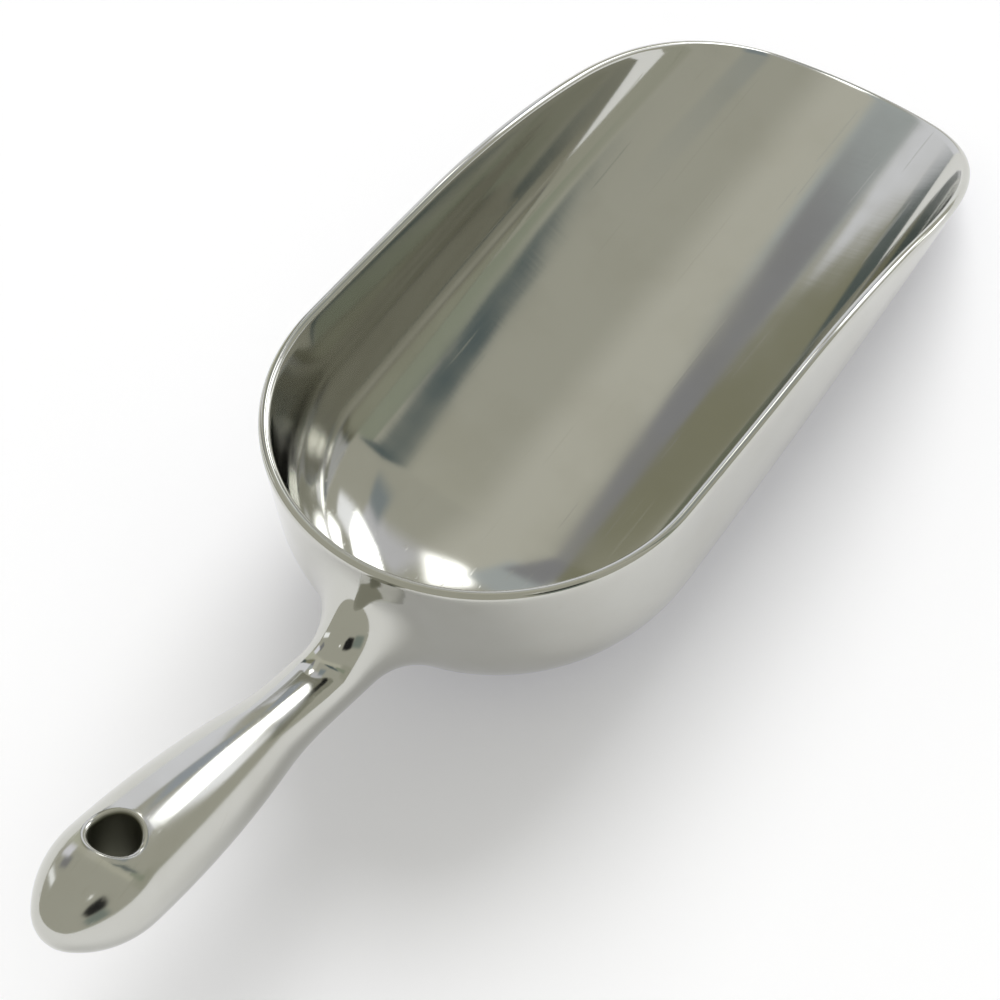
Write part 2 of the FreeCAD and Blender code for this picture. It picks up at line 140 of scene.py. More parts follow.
def section(half_width):
    """Corner arc's centre and the angle at which the base arc gives way to it."""
    top_half = half_width + HEADROOM * math.tan(WALL_DRAFT)
    start_y = top_half - CORNER_RADIUS * math.cos(WALL_DRAFT)
    start_z = BOWL_DEPTH + HEADROOM + CORNER_RADIUS * math.sin(WALL_DRAFT)
    lean_y, lean_z = -math.sin(WALL_DRAFT), -math.cos(WALL_DRAFT)
    along = start_y * lean_y + (start_z - BASE_HEIGHT) * lean_z
    apart = start_y ** 2 + (start_z - BASE_HEIGHT) ** 2
    down = -along + np.sqrt(along ** 2 - apart + (BASE_RADIUS - CORNER_RADIUS) ** 2)
    corner_y, corner_z = start_y + down * lean_y, start_z + down * lean_z
    return corner_y, corner_z, np.arctan2(corner_y, BASE_HEIGHT - corner_z)


BACK_Y, BACK_Z, BACK_TURN = [float(value) for value in section(HALF)]
BASE_RUN = BASE_RADIUS * BACK_TURN
CORNER_RUN = CORNER_RADIUS * (math.pi / 2 - WALL_DRAFT - BACK_TURN)


def outline(run, half_width):
    """Distance out, height and outward normal, at a run along the section from the keel."""
    corner_y, corner_z, turn = section(half_width)
    base_angle = run / BASE_RUN * turn
    part = np.clip((run - BASE_RUN) / CORNER_RUN, 0, 1)
    corner_angle = turn + part * (math.pi / 2 - WALL_DRAFT - turn)
    climb = np.clip(run - BASE_RUN - CORNER_RUN, 0, None)
    on_base = run <= BASE_RUN
    angle = np.where(on_base, base_angle, corner_angle)
    out = np.where(on_base, BASE_RADIUS * np.sin(angle),
                   corner_y + CORNER_RADIUS * np.sin(angle) + climb * math.sin(WALL_DRAFT))
    height = np.where(on_base, BASE_HEIGHT - BASE_RADIUS * np.cos(angle),
                      corner_z - CORNER_RADIUS * np.cos(angle) + climb * math.cos(WALL_DRAFT))
    return out, height, np.sin(angle), -np.cos(angle)


def side_wall(run, x):
    """Points and outward normals on the outside of the right-hand side."""
    run, x = np.broadcast_arrays(np.asarray(run, float), np.asarray(x, float))
    out, height, normal_out, normal_up = outline(run, taper(x))
    next_out, next_height, _, _ = outline(run, taper(x + SLOPE_STEP))
    lean = -((next_out - out) * normal_out + (next_height - height) * normal_up) / SLOPE_STEP
    points = np.stack([x, out, height], -1)
    normals = np.stack([lean, normal_out, normal_up], -1)
    return points, normals / np.linalg.norm(normals, axis=-1, keepdims=True)


def back_wall(run, angle):
    """Points and outward normals on the outside of the round back."""
    run, angle = np.broadcast_arrays(np.asarray(run, float), np.asarray(angle, float))
    out, height, normal_out, normal_up = outline(run, HALF)
    points = np.stack([HALF + out * np.cos(angle), out * np.sin(angle), height], -1)
    normals = np.stack([normal_out * np.cos(angle), normal_out * np.sin(angle), normal_up], -1)
    return points, normals


def rim_arc(length):
    """Centre of the rim's arc in side view, and where the straight rim meets it."""
    inward = (-math.sin(RIM_FALL), -math.cos(RIM_FALL))
    below = length * inward[0] - BOWL_DEPTH * inward[1]
    run = length * math.cos(RIM_FALL) + BOWL_DEPTH * math.sin(RIM_FALL)
    straight = run - math.sqrt(below * (2 * MOUTH_RADIUS - below))
    touch = (straight * math.cos(RIM_FALL), BOWL_DEPTH - straight * math.sin(RIM_FALL))
    return (touch[0] + MOUTH_RADIUS * inward[0], touch[1] + MOUTH_RADIUS * inward[1]), touch


def rim_place(height, length):
    """Distance along the bowl at which the rim has fallen to a height."""
    centre, touch = rim_arc(length)
    on_arc = centre[0] + np.sqrt(np.clip(MOUTH_RADIUS ** 2 - (height - centre[1]) ** 2, 0, None))
    return np.where(height < touch[1], on_arc, (BOWL_DEPTH - height) / math.tan(RIM_FALL))


def cut_line(length):
    """Where the mouth cuts the middle of the wall: run up the section, and place along the bowl."""
    run = np.linspace(0, BASE_RUN + CORNER_RUN + BOWL_DEPTH / 2, CUT_STEPS)
    x = np.full_like(run, HALF)
    for _ in range(SETTLING_ROUNDS):
        points, normals = side_wall(run, x)
        x = rim_place(points[:, 2] - normals[:, 2] * WALL / 2, length)
    ahead = x > HALF
    last = int(np.argmin(ahead)) + 1
    return run[:last], x[:last]


def rim_columns():
    """Run and place of the middle of the rounded rim along one side, from the lip to the back."""
    run, x = cut_line(BOWL_LENGTH)
    run, x = cut_line(BOWL_LENGTH - (x[0] - LIP_TIP))
    along_run, along_x = np.gradient(run), np.gradient(x)
    size = np.hypot(along_run, along_x)
    run, x = run + along_x / size * WALL / 2, x - along_run / size * WALL / 2
    run[0] = 0
    distance = np.concatenate([[0], np.cumsum(np.hypot(np.diff(run), np.diff(x)))])
    end = np.interp(HALF, x[::-1], distance[::-1])
    wanted = np.linspace(0, end, SIDE_COLUMNS + 1)
    return np.interp(wanted, distance, run), np.interp(wanted, distance, x)


def back_rim(angle):
    """Run at which the middle of the rounded rim lies on the round back."""
    run = np.full_like(angle, BASE_RUN + CORNER_RUN)
    for _ in range(SETTLING_ROUNDS):
        points, normals = back_wall(run, angle)
        middle = points - normals * WALL / 2
        wanted = BOWL_DEPTH - middle[:, 0] * math.tan(RIM_FALL)
        run = run + (wanted - middle[:, 2]) / math.cos(WALL_DRAFT)
    return run - WALL / 2


def half_shell():
    """Outside points and normals of the right half, a column for each place along the rim."""
    share = np.linspace(0, 1, RIB_ROWS + 1)
    rim_run, rim_x = rim_columns()
    fan = rim_x[0] - LIP_FAN
    keel_x = np.minimum(rim_x, fan)
    runs = rim_run[:, None] * share
    places = keel_x[:, None] + (rim_x - keel_x)[:, None] * share
    side = side_wall(runs, places)
    angle = np.linspace(math.pi / 2, math.pi, BACK_COLUMNS + 1)[1:]
    back = back_wall(back_rim(angle)[:, None] * share, angle[:, None])
    return [np.concatenate(pair) for pair in zip(side, back)]


def both_halves(half):
    """Adds the mirrored left half, so that the columns run all the way round."""
    return np.concatenate([half, half[-2:0:-1] * (1, -1, 1)])


# The casting's meshes

class Skin:
    """Points and faces gathered patch by patch; patches that touch are welded at the end."""

    def __init__(self):
        self.points, self.faces = [], []

    def patch(self, rows, around=False, leave_out=None):
        """Quads between rows of points; rows that go around join their end to their start."""
        rows = np.clip(np.asarray(rows, float), LOWEST, HIGHEST)
        first, (count, width) = len(self.points), rows.shape[:2]
        self.points.extend(rows.reshape(-1, 3))
        for row in range(count - 1):
            for column in range(width if around else width - 1):
                if leave_out and leave_out(row, column):
                    continue
                here, beside = first + row * width + column, first + row * width + (column + 1) % width
                self.faces.append((here, beside, beside + width, here + width))

    def piece(self, name):
        """A closed smooth mesh that rides on the casting's one body."""
        mesh = bpy.data.meshes.new(name)
        mesh.from_pydata([tuple((point + SHIFT) * MM) for point in self.points], [], self.faces)
        work = bmesh.new()
        work.from_mesh(mesh)
        bmesh.ops.remove_doubles(work, verts=work.verts, dist=WELD * MM)
        bmesh.ops.recalc_face_normals(work, faces=work.faces)
        work.to_mesh(mesh)
        work.free()
        mesh.shade_smooth()
        mesh.set_sharp_from_angle(angle=SHARP)
        made = bpy.data.objects.new(name, mesh)
        bpy.context.scene.collection.objects.link(made)
        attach(made, "root")
        return made


def turned(first, last, part):
    """Direction part of the way round from one unit vector to another."""
    angle = np.arccos(np.clip((first * last).sum(-1), -1, 1))[..., None]
    return (np.sin((1 - part) * angle) * first + np.sin(part * angle) * last) / np.sin(angle)


def solve(measure, low, high):
    """Values at which a rising measure passes zero, by halving."""
    for _ in range(HALVINGS):
        middle = (low + high) / 2
        over = measure(middle) > 0
        low, high = np.where(over, low, middle), np.where(over, middle, high)
    return (low + high) / 2


def from_back_wall(points):
    """Distance outside the round back, outward normal, and run and angle of the nearest point."""
    offset = points - (HALF, 0, 0)
    reach, angle = np.hypot(offset[..., 0], offset[..., 1]), np.arctan2(offset[..., 1], offset[..., 0])
    angle = np.where(angle < 0, angle + 2 * math.pi, angle)
    out, up = reach - BACK_Y, offset[..., 2] - BACK_Z
    turn = np.arctan2(out, -up)
    steep = math.pi / 2 - WALL_DRAFT
    side = out * math.cos(WALL_DRAFT) - up * math.sin(WALL_DRAFT) - CORNER_RADIUS
    climb = out * math.sin(WALL_DRAFT) + up * math.cos(WALL_DRAFT)
    on_side = turn > steep
    distance = np.where(on_side, side, np.hypot(out, up) - CORNER_RADIUS)
    run = BASE_RUN + np.where(on_side, CORNER_RUN + climb, (turn - BACK_TURN) * CORNER_RADIUS)
    turn = np.minimum(turn, steep)
    normals = np.stack([np.sin(turn) * np.cos(angle), np.sin(turn) * np.sin(angle), -np.cos(turn)], -1)
    return distance, normals, run, angle


def root_ball(around):
    """Ball that rolls between neck and back wall: centre, wall normal, and run and angle of its touch."""
    around = np.asarray(around, float)[..., None]
    out = np.cos(around) * AXIS_UP + np.sin(around) * ACROSS

    def ball(along):
        return AXIS_START + along[..., None] * AXIS + (NECK_RADIUS + ROOT_ROUND) * out

    low, high = np.zeros(around.shape[:-1]) - BOWL_DEPTH, np.zeros(around.shape[:-1]) + BOWL_DEPTH
    centre = ball(solve(lambda place: from_back_wall(ball(place))[0] - ROOT_ROUND, low, high))
    _, normals, run, angle = from_back_wall(centre)
    return out, centre, normals, run, angle


def root(skin, edge):
    """Flare from a ring of points on the back wall to the narrowest neck, closed at the joint."""
    offset = edge - AXIS_START
    out, centre, normals, run, angle = root_ball(np.arctan2(offset @ ACROSS, offset @ AXIS_UP))
    _, _, edge_run, edge_angle = from_back_wall(edge)
    rows = [back_wall(edge_run + (run - edge_run) * part, edge_angle + (angle - edge_angle) * part)[0]
            for part in np.linspace(0, 1, SPREAD_ROWS)[:-1]]
    rows += [centre + ROOT_ROUND * turned(-normals, -out, part) for part in np.linspace(0, 1, ROOT_ROWS)]
    neck = rows[-1]
    middle = AXIS_START + NECK_PLACE * AXIS
    joint = middle + NECK_RADIUS * out
    rows += [neck + (joint - neck) * part for part in (0.5, 1.0)]
    rows.append(np.repeat([middle], len(edge), axis=0))
    skin.patch(rows, around=True)


def make_bowl():
    """Walled trough with its rounded rim, and the flared root on its back."""
    points, normals = [both_halves(half) for half in half_shell()]
    rim, rim_normal = points[:, -1], normals[:, -1]
    centre = rim - rim_normal * WALL / 2
    along = np.roll(centre, -1, 0) - np.roll(centre, 1, 0)
    upward = np.cross(along, rim_normal)
    upward /= np.linalg.norm(upward, axis=1, keepdims=True)
    upward *= np.sign(((rim - points[:, -2]) * upward).sum(1))[:, None]
    round_rim = [centre + WALL / 2 * (rim_normal * math.cos(turn) + upward * math.sin(turn))
                 for turn in np.linspace(0, math.pi, RIM_ROWS + 1)]
    inside = points - normals * WALL
    skin = Skin()
    middle = SIDE_COLUMNS + BACK_COLUMNS
    _, _, _, touch_run, touch_angle = root_ball(np.array([0, math.pi / 2, math.pi]))
    _, _, rib_run, _ = from_back_wall(points[middle])
    # The flare takes the place of the quads that its touch line crosses, and of one more all round.
    high = min(int(np.searchsorted(rib_run, touch_run[0])) + 1, RIB_ROWS)
    low = int(np.searchsorted(rib_run, touch_run[2])) - 2
    wide = int((math.pi - touch_angle[1]) / (math.pi / 2 / BACK_COLUMNS)) + 2

    def in_root(row, column):
        return low <= row < high and middle - wide <= column < middle + wide

    skin.patch(points.transpose(1, 0, 2), around=True, leave_out=in_root)
    skin.patch(round_rim, around=True)
    skin.patch(inside.transpose(1, 0, 2), around=True)
    columns = np.arange(middle - wide, middle + wide)
    rows = np.arange(low, high)
    edge = np.concatenate([points[columns, low], points[middle + wide, rows],
                           points[columns[::-1] + 1, high], points[middle - wide, rows[::-1] + 1]])
    root(skin, edge)
    return skin.piece("bowl_casting")


# The grip

def grip_arcs():
    """Arcs of the grip's outline along its axis: centre, radius, first and last angle."""
    run, rise = GRIP_PLACE - NECK_PLACE, GRIP_RADIUS - NECK_RADIUS
    reach = (run ** 2 + rise ** 2) / (2 * rise)
    flank = reach - NECK_HOLLOW
    tail = GRIP_LENGTH - END_RADIUS - GRIP_PLACE
    belly = (tail ** 2 + GRIP_RADIUS ** 2 - END_RADIUS ** 2) / (2 * (GRIP_RADIUS - END_RADIUS))
    hollow_turn = math.atan2(rise - reach, run)
    end_turn = math.atan2(belly - GRIP_RADIUS, tail)
    half_turn = math.pi / 2
    return (((NECK_PLACE, NECK_RADIUS + NECK_HOLLOW), NECK_HOLLOW, -half_turn, hollow_turn),
            ((GRIP_PLACE, GRIP_RADIUS - flank), flank, math.pi + hollow_turn, half_turn),
            ((GRIP_PLACE, GRIP_RADIUS - belly), belly, half_turn, end_turn),
            ((GRIP_LENGTH - END_RADIUS, 0), END_RADIUS, end_turn, 0))


def grip_outline():
    """Places along the axis and radii of the grip's rings, evenly spaced along its outline."""
    places = []
    for centre, radius, first, last in grip_arcs():
        steps = max(2, round(radius * abs(last - first) / GRIP_STEP))
        angles = np.linspace(first, last, steps + 1)[1 if places else 0:]
        places += [(centre[0] + radius * math.cos(a), centre[1] + radius * math.sin(a)) for a in angles]
    return np.array(places)


def grip_point(place, radius, around):
    """Point of the grip from its place along the axis, its radius and the angle from the top."""
    place, radius, around = [np.asarray(value, float)[..., None] for value in (place, radius, around)]
    return AXIS_START + place * AXIS + radius * (np.cos(around) * AXIS_UP + np.sin(around) * ACROSS)


def in_grip(points):
    """Depth below the grip's surface near the hole, and its outward normal there."""
    offset = points - AXIS_START
    place = offset @ AXIS
    away = offset - place[..., None] * AXIS
    radius = np.linalg.norm(away, axis=-1)
    flank, belly = grip_arcs()[1:3]
    depth = np.zeros_like(place)
    normals = np.zeros_like(points)
    for (centre, size, _, _), here in ((flank, place < GRIP_PLACE), (belly, place >= GRIP_PLACE)):
        long, high = place - centre[0], radius - centre[1]
        reach = np.hypot(long, high)
        depth = np.where(here, size - reach, depth)
        found = (long[..., None] * AXIS + (high / radius)[..., None] * away) / reach[..., None]
        normals = np.where(here[..., None], found, normals)
    return depth, normals


def hole_rows(place, radius, around, side):
    """Rows from a ring of grip points in to the bore's wall; side is 1 above and -1 below."""
    middle = AXIS_START + HOLE_PLACE * AXIS
    edge = grip_point(place, radius, around)
    offset = edge - middle
    turn = np.arctan2(offset @ ACROSS, offset @ AXIS)
    out = np.cos(turn)[:, None] * AXIS + np.sin(turn)[:, None] * ACROSS

    def ball(height):
        return middle + (HOLE_RADIUS + HOLE_ROUND) * out + side * height[:, None] * AXIS_UP

    low, high = np.zeros(len(edge)), np.full(len(edge), GRIP_RADIUS)
    height = solve(lambda guess: HOLE_ROUND - in_grip(ball(guess))[0], low, high)
    centre = ball(height)
    _, normals = in_grip(centre)
    touch = centre + HOLE_ROUND * normals
    offset = touch - AXIS_START
    touch_place = offset @ AXIS
    away = offset - touch_place[:, None] * AXIS
    touch_around = np.arctan2(away @ ACROSS, away @ AXIS_UP)
    touch_around = np.where(touch_around < around - math.pi, touch_around + 2 * math.pi, touch_around)
    shape = grip_outline()
    rows = []
    for part in np.linspace(0, 1, SPREAD_ROWS):
        at = place + (touch_place - place) * part
        rows.append(grip_point(at, np.interp(at, shape[:, 0], shape[:, 1]),
                               around + (touch_around - around) * part))
    rows[0], rows[-1] = edge, touch
    rows += [centre + HOLE_ROUND * turned(normals, -out, part)
             for part in np.linspace(0, 1, HOLE_ROUND_ROWS + 1)[1:]]
    return rows


def make_handle():
    """Teardrop grip with the hang hole through it."""
    skin = Skin()
    outline_points = grip_outline()
    place, radius = outline_points[:, 0], outline_points[:, 1]
    around = np.linspace(0, 2 * math.pi, GRIP_COLUMNS, endpoint=False)
    grid = grip_point(place[:, None], radius[:, None], around[None, :])
    reach = HOLE_RADIUS + HOLE_ROUND + HOLE_MARGIN
    low = int(np.argmax(place > HOLE_PLACE - reach)) - 1
    high = int(np.argmax(place > HOLE_PLACE + reach))
    wide = int(math.asin(reach / GRIP_RADIUS) / (2 * math.pi / GRIP_COLUMNS)) + 1
    half = GRIP_COLUMNS // 2

    def in_hole(row, column):
        from_top = (column + half) % GRIP_COLUMNS - half
        return low <= row < high and (-wide <= from_top < wide or column - half in range(-wide, wide))

    skin.patch(grid, around=True, leave_out=in_hole)
    skin.patch([grid[0], np.repeat([AXIS_START + NECK_PLACE * AXIS], GRIP_COLUMNS, axis=0)], around=True)
    columns, rows = np.arange(-wide, wide), np.arange(low, high)
    ring_column = np.concatenate([columns, np.full(len(rows), wide),
                                  columns[::-1] + 1, np.full(len(rows), -wide)])
    ring_row = np.concatenate([np.full(len(columns), low), rows,
                               np.full(len(columns), high), rows[::-1] + 1])
    turn = ring_column * 2 * math.pi / GRIP_COLUMNS
    above = hole_rows(place[ring_row], radius[ring_row], turn, 1)
    below = hole_rows(place[ring_row], radius[ring_row], math.pi - turn, -1)
    bore = [above[-1] + (below[-1] - above[-1]) * part
            for part in np.linspace(0, 1, BORE_ROWS + 2)[1:-1]]
    skin.patch(above + bore + below[::-1], around=True)
    return skin.piece("handle_casting")


# Camera, light and floor

IMAGE_SIZE = 1000
SENSOR_WIDTH = 36.0
CAMERA_TURN = math.radians(-48.19)
CAMERA_TILT = math.radians(56.51)
CAMERA_ROLL = math.radians(-8.385)
FOCAL_PIXELS = 3192.6

# A point at the back of the rim, AIM_HEIGHT above the resting plane, lies this far ahead of the
# camera, to its right and above the middle of its view, in millimetres.
AIM_HEIGHT = 23.75
CAMERA_BACK = 779.6
AIM_ACROSS = -31.33
AIM_UP = -37.94


def make_camera():
    """Camera at the photograph's angle: above, behind and to the right of the scoop."""
    turn, tilt, roll = CAMERA_TURN, CAMERA_TILT, CAMERA_ROLL
    level = Vector((math.cos(turn), math.sin(turn), 0))
    view = Vector((-math.sin(turn) * math.cos(tilt), math.cos(turn) * math.cos(tilt), -math.sin(tilt)))
    upright = level.cross(view)
    right = level * math.cos(roll) + upright * math.sin(roll)
    up = upright * math.cos(roll) - level * math.sin(roll)
    place = Vector((SHIFT[0], 0, AIM_HEIGHT)) - right * AIM_ACROSS - up * AIM_UP - view * CAMERA_BACK
    data = bpy.data.cameras.new("camera")
    data.sensor_width = SENSOR_WIDTH
    data.lens = FOCAL_PIXELS / IMAGE_SIZE * data.sensor_width
    camera = bpy.data.objects.new("camera", data)
    camera.matrix_world = Matrix((right, up, -view)).transposed().to_4x4()
    camera.matrix_world.translation = place * MM
    bpy.context.scene.collection.objects.link(camera)
    bpy.context.scene.camera = camera


# Materials

class Value:
    """A node's output. Sums and products of it are Math nodes, added as they are written."""

    def __init__(self, nodes, socket):
        self.nodes, self.socket = nodes, socket

    def math(self, operation, *others, clamp=False):
        """A Math node that takes this value first and the others after it."""
        return self.nodes.add("ShaderNodeMath", {"operation": operation, "use_clamp": clamp},
                              dict(enumerate((self, *others))))

    def __add__(self, other):
        return self.math("ADD", other)

    def __mul__(self, other):
        return self.math("MULTIPLY", other)

    def __sub__(self, other):
        return self.math("SUBTRACT", other)

    def __rsub__(self, other):
        return self.nodes.add("ShaderNodeMath", {"operation": "SUBTRACT"}, {0: other, 1: self})

    __radd__, __rmul__ = __add__, __mul__


class Nodes:
    """The node tree of one material or of the world."""

    def __init__(self, owner):
        owner.use_nodes = True
        self.tree = owner.node_tree
        self.tree.nodes.clear()

    def add(self, kind, settings=None, sockets=None, output=0):
        """A node's output, from its type, its settings and the values or links of its sockets."""
        node = self.tree.nodes.new(kind)
        for name, setting in (settings or {}).items():
            setattr(node, name, setting)
        for name, value in (sockets or {}).items():
            if isinstance(value, Value):
                self.tree.links.new(value.socket, node.inputs[name])
            else:
                node.inputs[name].default_value = value
        return Value(self, node.outputs[output]) if node.outputs else None

    def mix(self, factor, colour, other):
        """The first colour at a factor of 0, the other at 1."""
        return self.add("ShaderNodeMix", {"data_type": "RGBA"}, {0: factor, 6: colour, 7: other}, output=2)

    def ramp(self, value, low, high):
        """Rises smoothly from 0 to 1 between two values."""
        return self.add("ShaderNodeMapRange", {"interpolation_type": "SMOOTHSTEP"},
                        {"Value": value, "From Min": low, "From Max": high})

    def noise(self, place, scale, detail=2, roughness=0.5):
        """Noise between 0 and 1; the scale is in waves to the metre, or to a stretched place's unit."""
        return self.add("ShaderNodeTexNoise", None,
                        {"Vector": place, "Scale": scale, "Detail": detail, "Roughness": roughness})

    def stretched(self, place, scale, turn=(0, 0, 0)):
        """A place scaled along each axis and then turned, for noise that runs one way."""
        return self.add("ShaderNodeMapping", None, {"Vector": place, "Scale": scale, "Rotation": turn})


POLISHED = (0.575, 0.575, 0.54, 1)
CLOUDED = (0.535, 0.532, 0.49, 1)
# Dark colour of the hang hole's wall: painted shade in the recess, not the metal's own colour. The wall's
# duller as-cast finish is in its roughness.
BORE_PAINTED_SHADE = (0.17, 0.17, 0.13, 1)
BORE_FADE = (0.05, 0.7 * HOLE_ROUND)     # its painted shade and its rougher as-cast finish fade out this far beyond the bore's radius

# Fine relief: noise scales to the metre, turns in radians, heights in metres
CLOUD_SCALE = 38
CLOUD_EDGES = (0.42, 0.72)
SMUDGE_SCALE = 17
SMUDGE_EDGES = (0.5, 0.75)
MARK_SCALE = (60, 2600, 2600)
CROSS_MARK_SCALE = (900, 45, 45)
CROSS_MARK_TURN = (0, 0, 0.35)
SCRATCH_SCALE = (25, 900, 900)
SCRATCH_TURN = (0, 0, -0.12)
SCRATCH_EDGES = (0.69, 0.73)
WAVE_SCALE = 50
WAVE_HEIGHT = 0.00003
MARK_HEIGHT = 0.0000012
SCRATCH_DEPTH = 0.000004

# Roughness of the clean mirror, and what each mark adds to it
MIRROR = 0.07
MARKED = 0.02
CLOUDY = 0.025
SMUDGED = 0.03
SCRATCHED = 0.04
HANDLED = 0.035
UNPOLISHED = 0.35
HANDLED_FROM = -0.08     # on the frame's x, in metres: handling shows from here and fully further back
HANDLED_FULLY = -0.10

# How far the clouds and the scratches take on the clouded colour
CLOUD_TINT = 0.7
SCRATCH_TINT = 0.3


def in_bore(nodes, place):
    """1 on the hang hole's wall, which the buffing wheel doesn't reach and whose colour is darkened as
    painted shade in the recess; 0 from its rounded edge on.
    """
    centre = (SHIFT + AXIS_START + HOLE_PLACE * AXIS) * MM
    offset = nodes.add("ShaderNodeVectorMath", {"operation": "SUBTRACT"}, {0: place, 1: tuple(centre)})
    along = nodes.add("ShaderNodeVectorMath", {"operation": "PROJECT"}, {0: offset, 1: tuple(AXIS_UP)})
    across = nodes.add("ShaderNodeVectorMath", {"operation": "DISTANCE"}, {0: offset, 1: along}, output=1)
    return 1 - nodes.ramp(across, *[(HOLE_RADIUS + fade) * MM for fade in BORE_FADE])


def polished_aluminium():
    """Buffed casting: a soft mirror with lengthwise polish marks, faint waves and handling smudges."""
    material = bpy.data.materials.new("polished_aluminium")
    nodes = Nodes(material)
    place = nodes.add("ShaderNodeTexCoord", output="Object")
    clouds = nodes.ramp(nodes.noise(place, CLOUD_SCALE, detail=3), *CLOUD_EDGES)
    smudges = nodes.ramp(nodes.noise(place, SMUDGE_SCALE, detail=4, roughness=0.6), *SMUDGE_EDGES)
    marks = nodes.noise(nodes.stretched(place, MARK_SCALE), scale=1, detail=2)
    cross_place = nodes.stretched(place, CROSS_MARK_SCALE, CROSS_MARK_TURN)
    cross_marks = nodes.noise(cross_place, scale=1, detail=1)
    scratch_place = nodes.stretched(place, SCRATCH_SCALE, SCRATCH_TURN)
    scratches = nodes.ramp(nodes.noise(scratch_place, scale=1, detail=1), *SCRATCH_EDGES)
    waves = nodes.noise(place, WAVE_SCALE, detail=1)
    height = (waves * WAVE_HEIGHT + marks * MARK_HEIGHT + cross_marks * MARK_HEIGHT
              - scratches * SCRATCH_DEPTH)
    relief = nodes.add("ShaderNodeBump", None, {"Strength": 1, "Distance": 1, "Height": height})
    bore = in_bore(nodes, place)
    along = nodes.add("ShaderNodeSeparateXYZ", None, {0: place})
    grip = 1 - nodes.ramp(along, HANDLED_FULLY, HANDLED_FROM)
    roughness = (MIRROR + marks * MARKED + clouds * CLOUDY + smudges * SMUDGED + scratches * SCRATCHED
                 + grip * HANDLED + bore * UNPOLISHED)
    metal = nodes.mix(clouds * CLOUD_TINT + scratches * SCRATCH_TINT, POLISHED, CLOUDED)
    # The bore's dark base colour is painted shade in the hang hole; its added roughness is the real
    # unpolished finish.
    shader = nodes.add("ShaderNodeBsdfPrincipled", None, {
        "Base Color": nodes.mix(bore, metal, BORE_PAINTED_SHADE),
        "Metallic": 1, "Roughness": roughness, "Normal": relief})
    nodes.add("ShaderNodeOutputMaterial", None, {"Surface": shader})
    return material


def seen_directly(nodes):
    """1 where the camera sees a surface directly, mirrored in metal or through glass."""
    path = nodes.add("ShaderNodeLightPath")
    outputs = path.socket.node.outputs
    mirrored = [Value(nodes, outputs[name]) for name in ("Is Glossy Ray", "Is Transmission Ray")]
    return path.math("ADD", mirrored[0] + mirrored[1], clamp=True)


FLOOR_HALF = 6.0         # metres from the middle of the floor to its edges
PAPER = (0.84, 0.84, 0.86, 1)
PAPER_ROUGHNESS = 0.9
PAPER_GLOW = (0.17, 0.17, 0.195, 1)      # lifts the pale floor to white where it is seen
NO_GLOW = (0, 0, 0, 1)
LAMP_TURN = math.radians(15)
LAMP_LEAN = math.radians(50)
LAMP_SPREAD = math.radians(40)
LAMP_STRENGTH = 2.0


def make_floor():
    """Pale paper under the scoop, which keeps its shadow."""
    mesh = bpy.data.meshes.new("floor")
    corners = [(x * FLOOR_HALF, y * FLOOR_HALF, 0) for x, y in ((-1, -1), (1, -1), (1, 1), (-1, 1))]
    mesh.from_pydata(corners, [], [(0, 1, 2, 3)])
    floor = bpy.data.objects.new("floor", mesh)
    bpy.context.scene.collection.objects.link(floor)
    material = bpy.data.materials.new("white_paper")
    nodes = Nodes(material)
    shader = nodes.add("ShaderNodeBsdfPrincipled", None, {
        "Base Color": PAPER, "Roughness": PAPER_ROUGHNESS, "Specular IOR Level": 0,
        "Emission Strength": 1,
        "Emission Color": nodes.mix(seen_directly(nodes), NO_GLOW, PAPER_GLOW)})
    nodes.add("ShaderNodeOutputMaterial", None, {"Surface": shader})
    mesh.materials.append(material)


def make_lamp():
    """Broad soft light from ahead of the lip for the floor; the metal mirrors the panels instead."""
    data = bpy.data.lights.new("lamp", "SUN")
    data.energy = LAMP_STRENGTH
    data.angle = LAMP_SPREAD
    lamp = bpy.data.objects.new("lamp", data)
    lamp.rotation_euler = (0, LAMP_LEAN, LAMP_TURN)
    lamp.visible_glossy = False
    bpy.context.scene.collection.objects.link(lamp)


